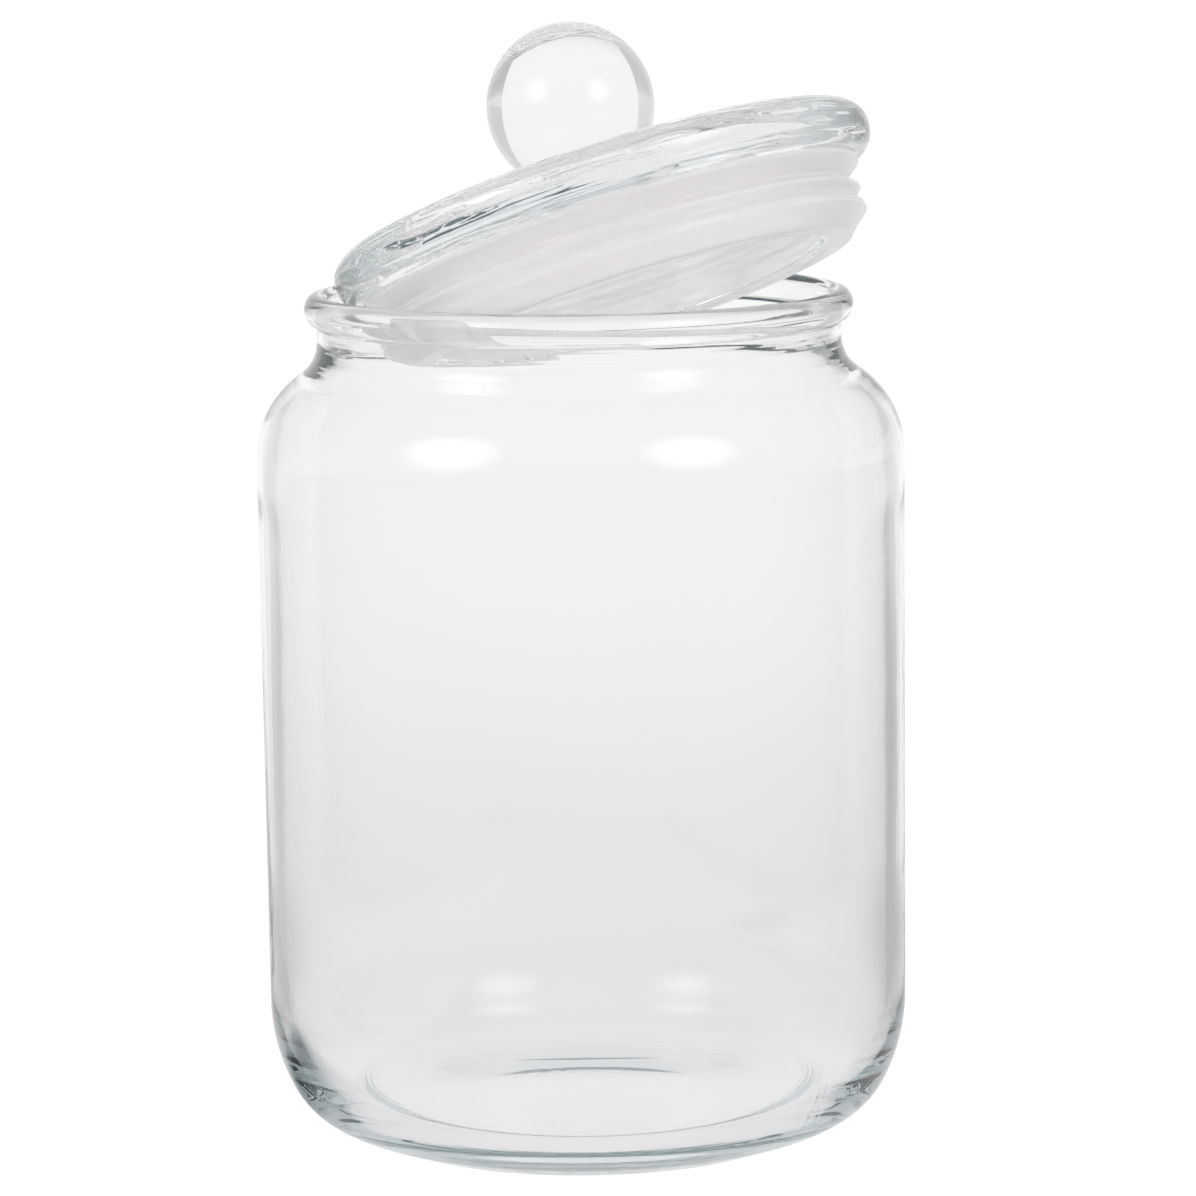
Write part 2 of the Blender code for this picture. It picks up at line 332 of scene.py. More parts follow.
class GlassJarLook(bpy.types.PropertyGroup):
    """Colours of the glass, the seal and the studio."""

    glass: tint("Glass", (1.0, 1.0, 1.0), "Tint at the surface")
    depth_colour: tint("Glass depth", (0.50, 0.60, 0.615), "Tint that builds up inside")
    depth_density: bpy.props.FloatProperty(
        name="Glass density", description="How fast that tint builds up", default=9, min=0
    )
    seal: tint("Seal", (0.89, 0.882, 0.893), "Milky soft plastic")
    seal_warm: tint("Seal, warm", (0.91, 0.882, 0.86), "Warm patches in the seal")
    paper: tint("Paper", (0.94, 0.94, 0.94), "Studio floor")


def arc(centre, radii, start, end, steps):
    """Points on an elliptical arc. The angles are in radians from +X."""
    points = []
    for step in range(steps + 1):
        angle = start + (end - start) * step / steps
        points.append(
            (centre[0] + radii[0] * math.cos(angle), centre[1] + radii[1] * math.sin(angle))
        )
    return points


def parabola(start, end, steps):
    """Points on a parabola that is level at start, leaving out both ends."""
    points = []
    for step in range(1, steps):
        share = step / steps
        points.append(
            (
                start[0] + (end[0] - start[0]) * share,
                start[1] + (end[1] - start[1]) * share * share,
            )
        )
    return points


def run_of(start, end, steps):
    """Points on a straight line, leaving out both ends."""
    return [
        tuple(a + (b - a) * step / steps for a, b in zip(start, end)) for step in range(1, steps)
    ]


def rounded(points, radius, steps):
    """A closed outline with each corner replaced by a small curve."""
    result = []
    count = len(points)
    for index, point in enumerate(points):
        here = Vector(point)
        before = Vector(points[index - 1]) - here
        after = Vector(points[(index + 1) % count]) - here
        cut_in = min(radius, before.length / CORNER_LIMIT)
        cut_out = min(radius, after.length / CORNER_LIMIT)
        start = here + before.normalized() * cut_in
        end = here + after.normalized() * cut_out
        for step in range(steps + 1):
            share = step / steps
            spot = start * (1 - share) ** 2 + here * 2 * share * (1 - share) + end * share**2
            result.append(tuple(spot))
    return result


def shoulder_curve(sizes, wall_radius, upper_round, fillet, neck_radius):
    """The S from the straight wall up into the neck, as (radius, height above the wall's end)."""
    slope = sizes.shoulder_slope
    upper = arc((wall_radius - upper_round, 0), (upper_round, upper_round), 0, slope, steps=22)
    run = upper[-1][0] - neck_radius - fillet * (1 - math.cos(slope))
    neck_height = upper[-1][1] + run / math.tan(slope) + fillet * math.sin(slope)
    centre = (neck_radius + fillet, neck_height)
    lower = arc(centre, (fillet, fillet), math.pi + slope, math.pi, steps=14)
    return upper + lower


def heel_curve(sizes):
    """The outer heel, from the straight wall down to the foot ring."""
    waist = sizes.body_radius - sizes.wall_taper
    big = sizes.heel_upper
    small = sizes.heel_lower
    upper = arc((waist - big, sizes.heel_height), (big, big), 0, -sizes.heel_turn, steps=14)
    centre = (
        upper[-1][0] - small * math.cos(sizes.heel_turn),
        upper[-1][1] + small * math.sin(sizes.heel_turn),
    )
    lower = arc(centre, (small, small), -sizes.heel_turn, -sizes.heel_cone, steps=14)[1:]
    foot = lower[-1][0] - lower[-1][1] * math.tan(sizes.heel_cone)
    return upper + lower + run_of(lower[-1], (foot, 0), steps=6) + [(foot, 0)]


def jar_outline(sizes):
    """Half section of the jar: up the inside, over the bead and down the outside."""
    shoulder = shoulder_curve(
        sizes, sizes.body_radius, sizes.shoulder_round, sizes.neck_fillet, sizes.neck_radius
    )
    shoulder_base = sizes.height - sizes.neck_height - shoulder[-1][1]
    heel = heel_curve(sizes)
    foot_radius = heel[-1][0] - sizes.foot_width
    floor_centre = sizes.push_up + sizes.base
    floor_edge = floor_centre - sizes.floor_crown
    inner_waist = sizes.body_radius - sizes.wall_taper - sizes.wall
    inner_heel_top = sizes.heel_height + sizes.inner_heel
    flat_end = inner_waist - sizes.floor_inset

    points = [(0, floor_centre)]
    points += parabola(points[0], (flat_end, floor_edge), steps=22)
    for inset in FLOOR_RINGS:
        ring = flat_end - inset
        points.append((ring - FLOOR_RING_HALF, floor_edge))
        points.append((ring, floor_edge + sizes.crease))
        points.append((ring + FLOOR_RING_HALF, floor_edge))
    points = sorted(points)
    points += arc(
        (flat_end, inner_heel_top),
        (sizes.floor_inset, inner_heel_top - floor_edge),
        -math.pi / 2,
        0,
        steps=28,
    )
    mouth = sizes.neck_radius - sizes.neck_wall
    inner = shoulder_curve(
        sizes,
        sizes.body_radius - sizes.wall,
        sizes.shoulder_round - sizes.wall + sizes.thinning,
        sizes.neck_fillet_inside,
        mouth,
    )
    inner = [(r, shoulder_base + z) for r, z in inner]
    points += run_of(points[-1], inner[0], steps=40) + inner

    bead_radius = sizes.neck_radius + sizes.bead_reach
    crown = mouth + (bead_radius - mouth) * BEAD_CROWN_SHARE
    lip = arc(
        (crown, sizes.height - sizes.lip_drop),
        (crown - mouth, sizes.lip_drop),
        math.pi,
        math.pi / 2,
        steps=14,
    )
    points += run_of(points[-1], lip[0], steps=10) + lip
    half = sizes.bead_height / 2
    points += arc(
        (crown, sizes.height - half),
        (bead_radius - crown, half),
        math.pi / 2,
        -BEAD_UNDERCUT,
        steps=24,
    )[1:]
    bead_root = sizes.height - sizes.bead_height
    points.append((sizes.neck_radius + BEAD_ROOT_ROUND, bead_root + BEAD_ROOT_ROUND))
    points.append((sizes.neck_radius, bead_root))
    outer = [(r, shoulder_base + z) for r, z in reversed(shoulder)]
    points += run_of(points[-1], outer[0], steps=6) + outer
    points += run_of(points[-1], heel[0], steps=40) + heel
    for step in range(PUSH_UP_STEPS + 1):
        share = 1 - step / PUSH_UP_STEPS
        points.append((foot_radius * share, sizes.push_up * (1 - share * share) ** 2))
    return points


def lid_outline(sizes):
    """Half section of the lid, from the top of the knob to the middle of its underside."""
    neck_turn = math.asin(sizes.knob_neck / sizes.knob_radius)
    ball = arc(
        (0, sizes.knob_height),
        (sizes.knob_radius, sizes.knob_radius),
        math.pi / 2,
        neck_turn - math.pi / 2,
        steps=64,
    )
    points = [(0, sizes.knob_height + sizes.knob_radius)] + ball[1:]
    neck_base = sizes.knob_height - sizes.knob_radius * math.cos(neck_turn)
    crown_radius = sizes.radius - sizes.outer_round
    edge = (crown_radius - sizes.inner_round, sizes.rise - sizes.dish)
    top = edge[1] + sizes.crown - sizes.dish / 2
    centre = (sizes.knob_neck + sizes.neck_fillet, neck_base)
    radii = (sizes.neck_fillet, neck_base - top)
    points += arc(centre, radii, math.pi, math.pi * 3 / 2, steps=12)[1:]
    dip = (edge[0] - sizes.inner_round / 2, edge[1] - sizes.dish / 2)
    points += parabola(points[-1], dip, steps=24) + [dip]
    radii = (sizes.inner_round, sizes.dish)
    points += arc((crown_radius, edge[1]), radii, math.pi, math.pi / 2, steps=14)
    radii = (sizes.outer_round, sizes.rise)
    points += arc((crown_radius, 0), radii, math.pi / 2, 0, steps=18)[1:]
    radii = (sizes.lower_round, sizes.depth)
    points += arc((sizes.radius - sizes.lower_round, 0), radii, 0, -math.pi / 2, steps=18)[1:]

    half = sizes.plug_wall / 2
    end_radius = sizes.plug_radius - sizes.draft
    root = (sizes.plug_radius, -sizes.depth)
    points += run_of(points[-1], root, steps=4) + [root]
    centre = (end_radius - half, -sizes.plug_depth + half)
    end = arc(centre, (half, half), 0, -math.pi, steps=18)
    points += run_of(points[-1], end[0], steps=10) + end
    plate_under = top - sizes.plate
    bore = end_radius - sizes.plug_wall - sizes.draft
    under_edge = plate_under - sizes.crown
    centre = (bore - sizes.fillet, under_edge - sizes.fillet)
    corner = arc(centre, (sizes.fillet, sizes.fillet), 0, math.pi / 2, steps=10)
    points += run_of(points[-1], corner[0], steps=10) + corner
    points += reversed(parabola((0, plate_under), (centre[0], under_edge), steps=24))
    points.append((0, plate_under))
    return points


def seal_outline(sizes, lid):
    """Closed half section of the seal ring."""
    top = -lid.depth - sizes.fit
    flange_under = top - sizes.flange
    upper_edge = -sizes.upper_fin - sizes.slope
    lower_root = -sizes.upper_fin - sizes.spacing
    lower_under = lower_root - sizes.slope - sizes.lower
    lip_top = -lid.plug_depth - sizes.fit
    bottom = lip_top - sizes.lip
    notch = sizes.fin_radius - sizes.notch
    corners = [
        (sizes.bore, top),
        (sizes.flange_radius, top),
        (sizes.flange_radius, flange_under),
        (sizes.barrel, flange_under - sizes.flange_cone),
        (sizes.barrel, -sizes.upper_fin),
        (sizes.fin_radius, upper_edge),
        (sizes.fin_radius, upper_edge - sizes.fin),
        (notch, upper_edge - sizes.fin - sizes.slope),
        (notch, lower_root),
        (sizes.fin_radius, lower_root - sizes.slope),
        (sizes.fin_radius, lower_under),
        (sizes.barrel, (lower_under + bottom) / 2),
        (sizes.barrel - sizes.taper, bottom),
        (sizes.bore - sizes.lip_reach, bottom),
        (sizes.bore - sizes.lip_reach, lip_top),
        (sizes.bore, lip_top),
    ]
    return rounded(corners, sizes.soften, steps=3)


def spun(outline, segments, closed=False):
    """A bmesh turned about Z from a half section."""
    bm = bmesh.new()
    verts = [bm.verts.new((x, 0, z)) for x, z in outline]
    edges = [bm.edges.new(pair) for pair in zip(verts, verts[1:])]
    if closed:
        edges.append(bm.edges.new((verts[-1], verts[0])))
    bmesh.ops.spin(
        bm,
        geom=verts + edges,
        cent=(0, 0, 0),
        axis=(0, 0, 1),
        angle=math.tau,
        steps=segments,
        use_merge=True,
    )
    bmesh.ops.remove_doubles(bm, verts=bm.verts, dist=WELD)
    bmesh.ops.dissolve_degenerate(bm, edges=bm.edges, dist=SHORTEST_EDGE)
    bmesh.ops.recalc_face_normals(bm, faces=bm.faces)
    bm.normal_update()
    return bm


def smooth(value, low, high):
    """Zero below low, one above high and smooth between."""
    share = min(max((value - low) / (high - low), 0), 1)
    return share * share * (3 - 2 * share)


def rippled(bm, amount, waves):
    """Moves each point along its normal by smooth noise.

    waves(point, normal) gives pairs: where the noise is read, and its strength.
    """
    moves = []
    for vert in bm.verts:
        total = sum(noise.noise(spot) * share for spot, share in waves(vert.co, vert.normal))
        moves.append(vert.normal * (total * amount))
    for vert, move in zip(bm.verts, moves):
        vert.co += move


def finished(bm, name, material, place=None):
    """Turns a bmesh into a smooth-shaded object that sits at the origin."""
    if place is not None:
        bmesh.ops.transform(bm, matrix=place, verts=bm.verts)
    mesh = bpy.data.meshes.new(name)
    bm.to_mesh(mesh)
    bm.free()
    mesh.shade_smooth()
    mesh.materials.append(material)
    piece = bpy.data.objects.new(name, mesh)
    bpy.context.scene.collection.objects.link(piece)
    return piece


def lid_place(pose):
    """The matrix that carries the lid's own frame to its leaning place."""
    spot = Vector(
        (
            pose.out * math.cos(pose.heading),
            pose.out * math.sin(pose.heading),
            pose.height,
        )
    )
    return Matrix.Translation(spot) @ Euler((0, -pose.lean, pose.heading)).to_matrix().to_4x4()


def new_material(name, **finish):
    """A material, its node tree and its main shader."""
    material = bpy.data.materials.new(name)
    material.use_nodes = True
    tree = material.node_tree
    shader = tree.nodes["Principled BSDF"]
    for label, value in finish.items():
        shader.inputs[label].default_value = value
    return material, tree, shader


def feed(tree, socket, value):
    """Links a socket to another one, or sets it to a constant."""
    if isinstance(value, bpy.types.NodeSocket):
        tree.links.new(value, socket)
    else:
        socket.default_value = value


def add(tree, kind, inputs=None, **settings):
    """One shader node. Each input is a socket or a constant, by its name or number."""
    step = tree.nodes.new("ShaderNode" + kind)
    for label, value in settings.items():
        setattr(step, label, value)
    for label, value in (inputs or {}).items():
        feed(tree, step.inputs[label], value)
    return step


def object_place(tree):
    """The point of the surface, in the object's own frame."""
    return add(tree, "TexCoord").outputs["Object"]


def calc(tree, operation, *values):
    """The result of one math node."""
    return add(tree, "Math", dict(enumerate(values)), operation=operation).outputs["Value"]


def vector_calc(tree, operation, *values, output="Vector"):
    """The result of one vector math node."""
    step = add(tree, "VectorMath", dict(enumerate(values)), operation=operation)
    return step.outputs[output]


def noise_of(tree, place, scale, detail):
    """Noise between zero and one."""
    inputs = {"Vector": place, "Scale": scale, "Detail": detail}
    return add(tree, "TexNoise", inputs).outputs["Fac"]


def ramped(tree, value, low, high, start, end):
    """A smooth step from start, where the value is low, to end, where it is high."""
    inputs = {"Value": value, "From Min": low, "From Max": high, "To Min": start, "To Max": end}
    return add(tree, "MapRange", inputs, interpolation_type="SMOOTHSTEP").outputs["Result"]


def mixed(tree, share, first, second, kind="FLOAT"):
    """A value or a colour between two others."""
    inputs = {"Factor": share, "A": first, "B": second}
    return add(tree, "Mix", inputs, data_type=kind).outputs["Result"]


def mixed_shader(tree, share, first, second):
    """A shader between two others."""
    return add(tree, "MixShader", {0: share, 1: first, 2: second}).outputs["Shader"]


def new_group(name, inputs, outputs):
    """An empty node group with named sockets, and its own input and output sockets."""
    tree = bpy.data.node_groups.new(name, "ShaderNodeTree")
    for in_out, sockets in (("INPUT", inputs), ("OUTPUT", outputs)):
        for label, kind in sockets.items():
            tree.interface.new_socket(label, in_out=in_out, socket_type="NodeSocket" + kind)
    given = tree.nodes.new("NodeGroupInput").outputs
    result = tree.nodes.new("NodeGroupOutput").inputs
    return tree, given, result


def ring_streaks():
    """The node group for streaks that run round the lid's axis, built once.

    It gives the streaks and the distance from the axis.
    """
    name = "ring_streaks"
    if name in bpy.data.node_groups:
        return bpy.data.node_groups[name]
    tree, given, result = new_group(
        name,
        {"Place": "Vector", "Along": "Float", "Across": "Float", "Detail": "Float"},
        {"Streaks": "Float", "Radius": "Float"},
    )
    level = vector_calc(tree, "MULTIPLY", given["Place"], (1, 1, 0))
    radius = vector_calc(tree, "LENGTH", level, output="Value")
    way = vector_calc(tree, "NORMALIZE", level)
    along = vector_calc(tree, "MULTIPLY", way, given["Along"])
    height = add(tree, "SeparateXYZ", {"Vector": given["Place"]}).outputs["Z"]
    slant = calc(tree, "MULTIPLY_ADD", height, RIM_SLANT, radius)
    across = add(tree, "CombineXYZ", {"Z": calc(tree, "MULTIPLY", slant, given["Across"])})
    spot = vector_calc(tree, "ADD", along, across.outputs["Vector"])
    feed(tree, result["Streaks"], noise_of(tree, spot, 1, given["Detail"]))
    feed(tree, result["Radius"], radius)
    return tree


def glass_relief():
    """The node group for the fine unevenness of glass: grain and drawn lines, built once."""
    name = "glass_relief"
    if name in bpy.data.node_groups:
        return bpy.data.node_groups[name]
    tree, given, result = new_group(
        name,
        {"Place": "Vector", "Grain": "Float", "Lines": "Float", "Line Strength": "Float"},
        {"Height": "Float"},
    )
    grain = noise_of(tree, given["Place"], given["Grain"], GRAIN_DETAIL)
    height = calc(tree, "MULTIPLY_ADD", given["Lines"], given["Line Strength"], grain)
    feed(tree, result["Height"], height)
    return tree


def lid_streaks(tree, pose, streaks, detail):
    """Streaks round the leaning lid, and the distance from its axis."""
    back = lid_place(pose).inverted()
    inputs = {
        "Vector": object_place(tree),
        "Location": back.translation,
        "Rotation": back.to_euler(),
    }
    own = add(tree, "Mapping", inputs).outputs["Vector"]
    along, across = streaks
    inputs = {"Place": own, "Along": along, "Across": across, "Detail": detail}
    group = add(tree, "Group", inputs, node_tree=ring_streaks())
    return group.outputs["Streaks"], group.outputs["Radius"]


def seam(tree, place):
    """A fine upright mould seam on two opposite sides: one on its line, falling to zero."""
    across = (math.cos(SEAM_BEARING), math.sin(SEAM_BEARING), 0)
    off = vector_calc(tree, "DOT_PRODUCT", place, across, output="Value")
    return ramped(tree, calc(tree, "ABSOLUTE", off), 0, SEAM_HALF, 1, 0)


def clear_glass(name, look, density, bump_height):
    """Clear glass with a tint that builds up inside, and the socket that takes its relief."""
    material, tree, shader = new_material(name, **GLASS_FINISH)
    shader.inputs["Base Color"].default_value = (*look.glass, 1)
    bump = add(tree, "Bump", {"Strength": 1, "Distance": bump_height})
    feed(tree, shader.inputs["Normal"], bump.outputs["Normal"])
    inputs = {"Color": (*look.depth_colour, 1), "Density": density}
    depth = add(tree, "VolumeAbsorption", inputs).outputs["Volume"]
    feed(tree, tree.nodes["Material Output"].inputs["Volume"], depth)
    return material, tree, bump.inputs["Height"]


def jar_material(look):
    """The jar's glass, with lines drawn in its neck and a mould seam."""
    grain, height = JAR_GRAIN
    material, tree, relief = clear_glass("jar_glass", look, look.depth_density, height)
    place = object_place(tree)
    drawn = add(tree, "Mapping", {"Vector": place, "Scale": JAR_LINES}).outputs["Vector"]
    upright = add(tree, "SeparateXYZ", {"Vector": place}).outputs["Z"]
    inputs = {
        "Place": place,
        "Grain": grain,
        "Lines": noise_of(tree, drawn, 1, LINES_DETAIL),
        "Line Strength": ramped(tree, upright, *JAR_LINES_RISE, 0, JAR_LINES_HEIGHT / height),
    }
    uneven = add(tree, "Group", inputs, node_tree=glass_relief()).outputs["Height"]
    ridge = seam(tree, place)
    feed(tree, relief, calc(tree, "MULTIPLY_ADD", ridge, SEAM_HEIGHT / height, uneven))
    return material


def lid_material(look, pose):
    """The lid's glass, clearer than the jar's, with lines drawn round its rim."""
    grain, height = LID_GRAIN
    density = look.depth_density * LID_DENSITY_SHARE
    material, tree, relief = clear_glass("lid_glass", look, density, height)
    streaks, radius = lid_streaks(tree, pose, LID_LINES, LINES_DETAIL)
    inputs = {
        "Place": object_place(tree),
        "Grain": grain,
        "Lines": streaks,
        "Line Strength": ramped(tree, radius, *LID_LINES_START, 0, LID_LINES_HEIGHT / height),
    }
    feed(tree, relief, add(tree, "Group", inputs, node_tree=glass_relief()).outputs["Height"])
    return material


def seal_material(look, pose):
    """Milky soft plastic that lets some light through."""
    material, tree, shader = new_material("milky_seal", **SEAL_FINISH)
    streaks, _ = lid_streaks(tree, pose, SEAL_STREAKS, SEAL_DETAIL)
    start, end = SEAL_WARMTH
    warm = add(tree, "MapRange", {"Value": streaks, "From Min": start, "From Max": end})
    colours = (*look.seal, 1), (*look.seal_warm, 1)
    feed(tree, shader.inputs["Base Color"], mixed(tree, warm.outputs["Result"], *colours, "RGBA"))
    return material


class GLASSJAR_OT_jar(bpy.types.Operator):
    """Models the jar"""

    bl_idname = "glassjar.jar"
    bl_label = "Jar"

    def execute(self, context):
        scene = context.scene
        sizes = scene.glass_jar_sizes
        bm = spun(jar_outline(sizes), sizes.segments)
        heel_top = sizes.heel_height + sizes.inner_heel

        def waves(point, normal):
            radial = Vector((point.x, point.y, 0)).normalized()
            inner = 1 - smooth(radial.dot(normal), *INNER_FACING)
            if normal.z > FLOOR_FACING and point.z < heel_top:
                inner = 1
            shoulder = smooth(point.z, *SHOULDER_WAVES_RISE) * inner
            blown = smooth(point.z, *WALL_WAVES_RISE)
            strength = OUTER_RIPPLE + (1 - OUTER_RIPPLE) * inner * (1 - shoulder)
            strength *= LOW_RIPPLE + (1 - LOW_RIPPLE) * blown
            return (
                (point * WALL_WAVES, strength),
                (point * SHOULDER_WAVES, SHOULDER_RIPPLE * shoulder),
            )

        rippled(bm, sizes.ripple, waves)
        piece = finished(bm, "jar_glass", jar_material(scene.glass_jar_look))
        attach(piece, "jar")
        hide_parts("jar_body")
        return {"FINISHED"}


class GLASSJAR_OT_lid(bpy.types.Operator):
    """Models the lid with its knob and plug"""

    bl_idname = "glassjar.lid"
    bl_label = "Lid"

    def execute(self, context):
        scene = context.scene
        sizes = scene.glass_lid_sizes
        bm = spun(lid_outline(sizes), sizes.segments)

        def waves(point, normal):
            radius = math.hypot(point.x, point.y)
            way = Vector((point.x, point.y, 0)).normalized()
            rim = smooth(radius, *RIM_START)
            top = rim * smooth(normal.z, *RIM_TOP_FACING)
            reach = radius + point.z * RIM_SLANT
            crumpled, drawn = (
                Vector((way.x * along, way.y * along, reach * across))
                for along, across in (CRUMPLE, DRAWN_OUT)
            )
            crumple = PLATE_CRUMPLE + RIM_CRUMPLE * rim - RIM_TOP_LOSS * top
            return (crumpled, crumple), (drawn, RIM_TOP_DRAWN * top)

        rippled(bm, sizes.ripple, waves)
        pose = scene.glass_jar_pose
        material = lid_material(scene.glass_jar_look, pose)
        piece = finished(bm, "lid_glass", material, lid_place(pose))
        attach(piece, "lid")
        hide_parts("glass_lid")
        return {"FINISHED"}


class GLASSJAR_OT_seal(bpy.types.Operator):
    """Models the seal ring"""

    bl_idname = "glassjar.seal"
    bl_label = "Seal ring"

    def execute(self, context):
        scene = context.scene
        sizes = scene.glass_seal_sizes
        pose = scene.glass_jar_pose
        outline = seal_outline(sizes, scene.glass_lid_sizes)
        bm = spun(outline, sizes.segments, closed=True)
        material = seal_material(scene.glass_jar_look, pose)
        piece = finished(bm, "seal_ring", material, lid_place(pose))
        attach(piece, "seal")
        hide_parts("lid_seal")
        return {"FINISHED"}


def studio_camera():
    """The camera, turned as the photograph's."""
    data = bpy.data.cameras.new("studio_camera")
    data.sensor_width = SENSOR
    data.lens = LENS_SHARE * SENSOR
    data.clip_start, data.clip_end = CLIP
    camera = bpy.data.objects.new("studio_camera", data)
    forward = Vector(
        (
            math.sin(CAMERA_YAW) * math.cos(CAMERA_PITCH),
            math.cos(CAMERA_YAW) * math.cos(CAMERA_PITCH),
            -math.sin(CAMERA_PITCH),
        )
    )
    right = Vector((math.cos(CAMERA_YAW), -math.sin(CAMERA_YAW), 0))
    up = right.cross(forward)
    rolled_right = right * math.cos(CAMERA_ROLL) + up * math.sin(CAMERA_ROLL)
    rolled_up = up * math.cos(CAMERA_ROLL) - right * math.sin(CAMERA_ROLL)
    turned = Matrix((rolled_right, rolled_up, -forward)).transposed()
    camera.matrix_world = Matrix.Translation(CAMERA_PLACE) @ turned.to_4x4()
    bpy.context.scene.collection.objects.link(camera)
    bpy.context.scene.camera = camera


def seen_through_glass(tree):
    """One for light that the camera sees by way of glass or gloss alone."""
    path = add(tree, "LightPath").outputs
    through = calc(tree, "MAXIMUM", path["Is Glossy Ray"], path["Is Transmission Ray"])
    inputs = {0: through, 1: path["Diffuse Depth"]}
    clear = add(tree, "Math", inputs, operation="SUBTRACT", use_clamp=True)
    return clear.outputs["Value"]


def surround(tree, x, y, away, levels):
    """Brightness that differs at the left, right and front, and further away."""
    sides = ramped(tree, x, *levels["sides"], levels["left"], levels["right"])
    behind = ramped(tree, y, *levels["front_end"], 0, 1)
    near = mixed(tree, behind, levels["front"], sides)
    beyond = ramped(tree, away, *levels["beyond_start"], 0, 1)
    return mixed(tree, beyond, near, levels["beyond"])


def studio_world():
    """Plain white light. Glass and gloss see a tent: grey at the sides, greyer in front."""
    world = bpy.data.worlds.new("white_tent")
    bpy.context.scene.world = world
    world.use_nodes = True
    tree = world.node_tree
    tree.nodes.clear()
    place = add(tree, "TexCoord").outputs["Generated"]
    x, y, z = add(tree, "SeparateXYZ", {"Vector": place}).outputs
    inputs = {"Color": WHITE, "Strength": surround(tree, x, y, z, TENT)}
    tent = add(tree, "Background", inputs).outputs["Background"]
    white = add(tree, "Background", {"Color": WHITE}).outputs["Background"]
    light = mixed_shader(tree, seen_through_glass(tree), white, tent)
    add(tree, "OutputWorld", {"Surface": light})


def glass_only(piece):
    """Keeps a studio card out of everything but the glass."""
    piece.visible_camera = False
    piece.visible_diffuse = False
    piece.visible_shadow = False
    piece.visible_volume_scatter = False


def sweep_mesh():
    """A sheet along X that lies flat, bends up behind the object and stands."""
    profile = [(-SWEEP_BACK, SWEEP_CLEAR)]
    profile += arc(
        (SWEEP_BACK - SWEEP_BEND, SWEEP_CLEAR + SWEEP_BEND),
        (SWEEP_BEND, SWEEP_BEND),
        -math.pi / 2,
        0,
        steps=8,
    )
    profile.append((SWEEP_BACK, SWEEP_TOP))
    bm = bmesh.new()
    verts = [bm.verts.new((-SWEEP_HALF, y, z)) for y, z in profile]
    edges = [bm.edges.new(pair) for pair in zip(verts, verts[1:])]
    extruded = bmesh.ops.extrude_edge_only(bm, edges=edges)["geom"]
    far_side = [item for item in extruded if isinstance(item, bmesh.types.BMVert)]
    bmesh.ops.translate(bm, vec=(SWEEP_HALF * 2, 0, 0), verts=far_side)
    return bm


def painted_shadow_distance(tree, x, y):
    """How far a point of the sweep is from the middle of the painted shadow, with one at its oval
    edge.
    """
    off_x = calc(tree, "SUBTRACT", x, PAINTED_SHADOW_PLACE[0])
    off_y = calc(tree, "SUBTRACT", y, PAINTED_SHADOW_PLACE[1])
    squares = []
    for way, half in zip((PAINTED_SHADOW_TURN, PAINTED_SHADOW_TURN + math.pi / 2), PAINTED_SHADOW_HALF):
        part_x = calc(tree, "MULTIPLY", off_x, math.cos(way))
        part_y = calc(tree, "MULTIPLY", off_y, math.sin(way))
        share = calc(tree, "DIVIDE", calc(tree, "ADD", part_x, part_y), half)
        squares.append(calc(tree, "MULTIPLY", share, share))
    return calc(tree, "SQRT", calc(tree, "ADD", *squares))


def studio_sweep():
    """The white sweep behind the object, which only the glass sees, with a painted shadow at the
    left of the object.
    """
    material, tree, shader = new_material("studio_sweep")
    tree.nodes.remove(shader)
    x, y, z = add(tree, "SeparateXYZ", {"Vector": object_place(tree)}).outputs
    level = ramped(tree, z, *SWEEP_RISE, SWEEP_LOW, SWEEP_HIGH)
    # Painted shadow: a soft dark patch at the left of the object, tinted cool, in place of the
    # jar's contact shadow
    painted_shadow = ramped(tree, painted_shadow_distance(tree, x, y), PAINTED_SHADOW_CORE, 1, PAINTED_SHADOW_DEPTH, 0)
    side = ramped(tree, calc(tree, "ABSOLUTE", x), *SIDE_START, 0, SIDE_SHADE)
    side = calc(tree, "MULTIPLY", side, ramped(tree, z, *SIDE_FADE, 1, 0))
    front = ramped(tree, y, -SWEEP_BACK, FRONT_END, FRONT_SHADE, 0)
    for shade in (painted_shadow, side, front):
        level = calc(tree, "MULTIPLY", level, calc(tree, "SUBTRACT", 1, shade))
    hue = mixed(tree, painted_shadow, (*SWEEP_TINT, 1), (*PAINTED_SHADOW_TINT, 1), "RGBA")
    glow = add(tree, "Emission", {"Color": hue, "Strength": level}).outputs["Emission"]
    feed(tree, tree.nodes["Material Output"].inputs["Surface"], glow)
    glass_only(finished(sweep_mesh(), "studio_sweep", material))


def studio_softbox(name, bearing, height, distance, radius, strength):
    """A round softbox with a soft edge, in front and to one side."""
    spot = Vector((math.sin(bearing) * distance, -math.cos(bearing) * distance, height))
    aim = Vector((0, 0, height / 2)) - spot
    bm = bmesh.new()
    bmesh.ops.create_circle(bm, cap_ends=True, segments=48, radius=radius)
    turned = aim.to_track_quat("Z", "Y").to_matrix().to_4x4()
    material, tree, shader = new_material(name)
    tree.nodes.remove(shader)
    off = vector_calc(tree, "DISTANCE", object_place(tree), spot, output="Value")
    glow = add(tree, "Emission", {"Strength": strength}).outputs["Emission"]
    clear = add(tree, "BsdfTransparent").outputs["BSDF"]
    surface = mixed_shader(tree, ramped(tree, off, 0, radius, 1, 0), clear, glow)
    feed(tree, tree.nodes["Material Output"].inputs["Surface"], surface)
    glass_only(finished(bm, name, material, Matrix.Translation(spot) @ turned))


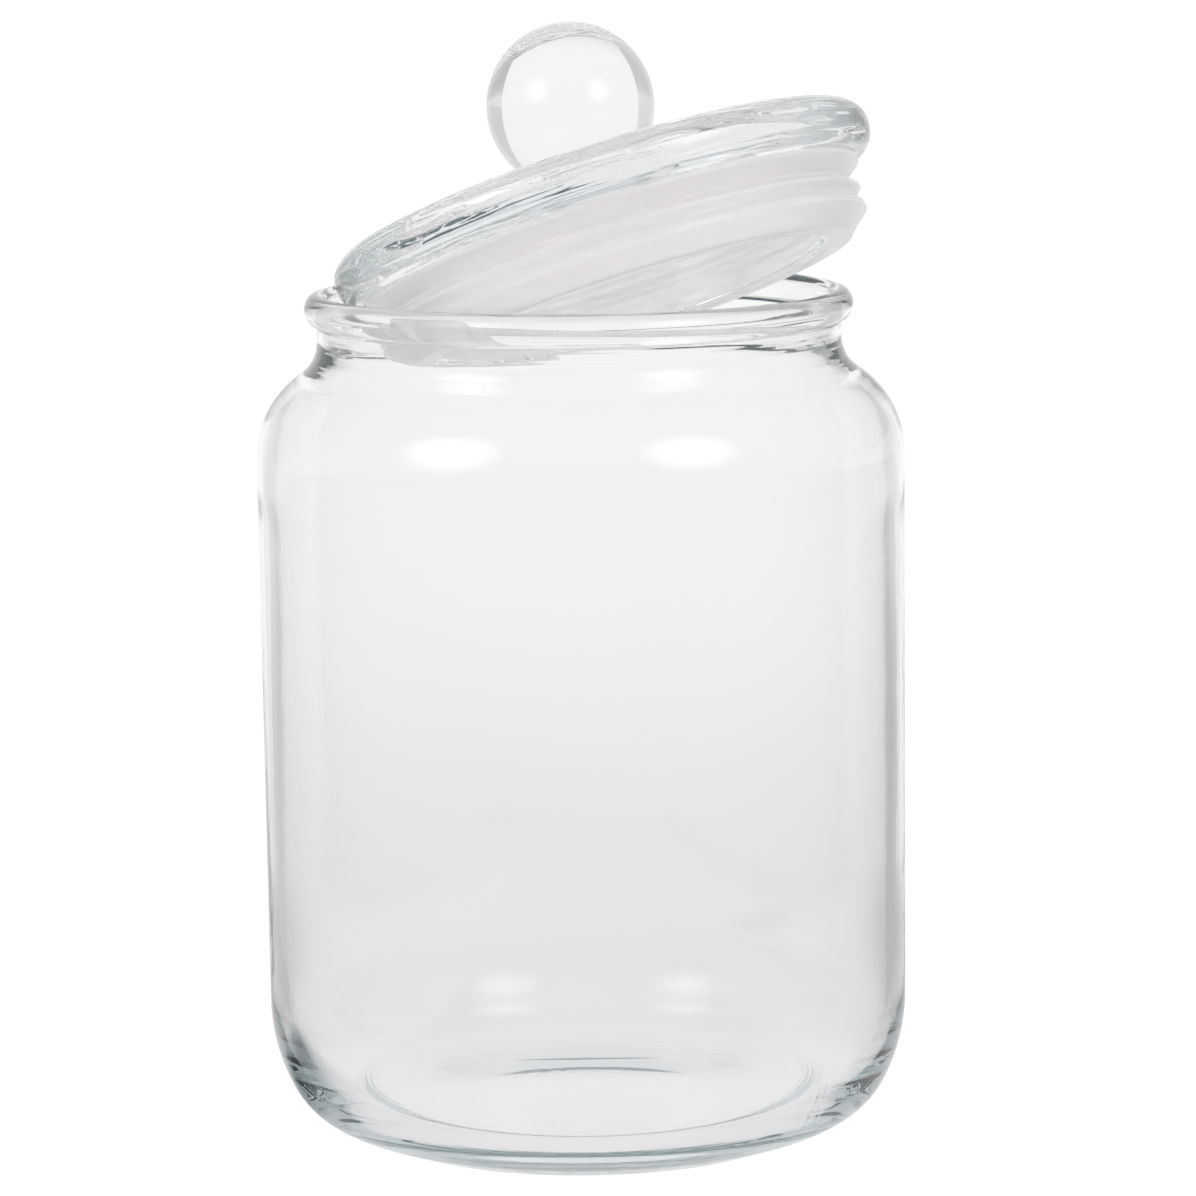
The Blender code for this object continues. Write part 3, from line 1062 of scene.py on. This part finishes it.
def studio_floor(look):
    """A pale floor. It glows white to the camera and keeps a soft shadow."""
    bm = bmesh.new()
    bmesh.ops.create_circle(bm, cap_ends=True, segments=96, radius=FLOOR_RADIUS)
    material, tree, shader = new_material("studio_paper", Roughness=FLOOR_ROUGHNESS)
    shader.inputs["Base Color"].default_value = (*look.paper, 1)
    paper = shader.outputs["BSDF"]
    x, y, _ = add(tree, "SeparateXYZ", {"Vector": object_place(tree)}).outputs
    level = surround(tree, x, y, y, FLOOR)
    glow = add(tree, "Emission", {"Strength": level}).outputs["Emission"]
    white = add(tree, "Emission", {"Strength": FLOOR_WHITE}).outputs["Emission"]
    to_camera = mixed_shader(tree, FLOOR_WHITE_SHARE, paper, white)
    to_others = mixed_shader(tree, seen_through_glass(tree), paper, glow)
    camera = add(tree, "LightPath").outputs["Is Camera Ray"]
    surface = mixed_shader(tree, camera, to_others, to_camera)
    feed(tree, tree.nodes["Material Output"].inputs["Surface"], surface)
    place = Matrix.Translation((0, 0, FLOOR_CLEAR))
    finished(bm, "studio_floor", material, place)


class GLASSJAR_OT_stage(bpy.types.Operator):
    """Sets up the camera, the white tent, the floor, the sweep and the softboxes"""

    bl_idname = "glassjar.stage"
    bl_label = "Studio"

    def execute(self, context):
        scene = context.scene
        scene.view_settings.view_transform = "Standard"
        scene.cycles.max_bounces = GLASS_BOUNCES
        scene.cycles.glossy_bounces = GLASS_BOUNCES
        scene.cycles.transmission_bounces = GLASS_BOUNCES
        scene.cycles.diffuse_bounces = DIFFUSE_BOUNCES
        scene.cycles.blur_glossy = 0
        studio_camera()
        studio_world()
        studio_floor(scene.glass_jar_look)
        studio_sweep()
        for index, (bearing, *rest) in enumerate(SOFTBOXES):
            studio_softbox(f"studio_softbox_{index + 1}", math.radians(bearing), *rest)
        return {"FINISHED"}


class GLASSJAR_PT_panel(bpy.types.Panel):
    """Lists the steps that model the jar"""

    bl_label = "Glass jar"
    bl_idname = "GLASSJAR_PT_panel"
    bl_space_type = "VIEW_3D"
    bl_region_type = "UI"
    bl_category = "Glass jar"

    def draw(self, context):
        layout = self.layout
        for operator in OPERATORS:
            layout.operator(operator.bl_idname)
        for name, _ in GROUPS:
            box = layout.box()
            group = getattr(context.scene, name)
            for entry in group.bl_rna.properties:
                if not entry.is_readonly:
                    box.prop(group, entry.identifier)


GROUPS = (
    ("glass_jar_sizes", GlassJarSizes),
    ("glass_lid_sizes", GlassLidSizes),
    ("glass_seal_sizes", GlassSealSizes),
    ("glass_jar_pose", GlassJarPose),
    ("glass_jar_look", GlassJarLook),
)
OPERATORS = (GLASSJAR_OT_jar, GLASSJAR_OT_lid, GLASSJAR_OT_seal, GLASSJAR_OT_stage)
CLASSES = tuple(group for _, group in GROUPS) + OPERATORS + (GLASSJAR_PT_panel,)


def register():
    for item in CLASSES:
        bpy.utils.register_class(item)
    for name, group in GROUPS:
        setattr(bpy.types.Scene, name, bpy.props.PointerProperty(type=group))


def unregister():
    for name, _ in GROUPS:
        delattr(bpy.types.Scene, name)
    for item in reversed(CLASSES):
        bpy.utils.unregister_class(item)


def main():
    register()
    bpy.ops.glassjar.jar()
    bpy.ops.glassjar.seal()
    bpy.ops.glassjar.lid()
    bpy.ops.glassjar.stage()


if __name__ == "__main__":
    main()
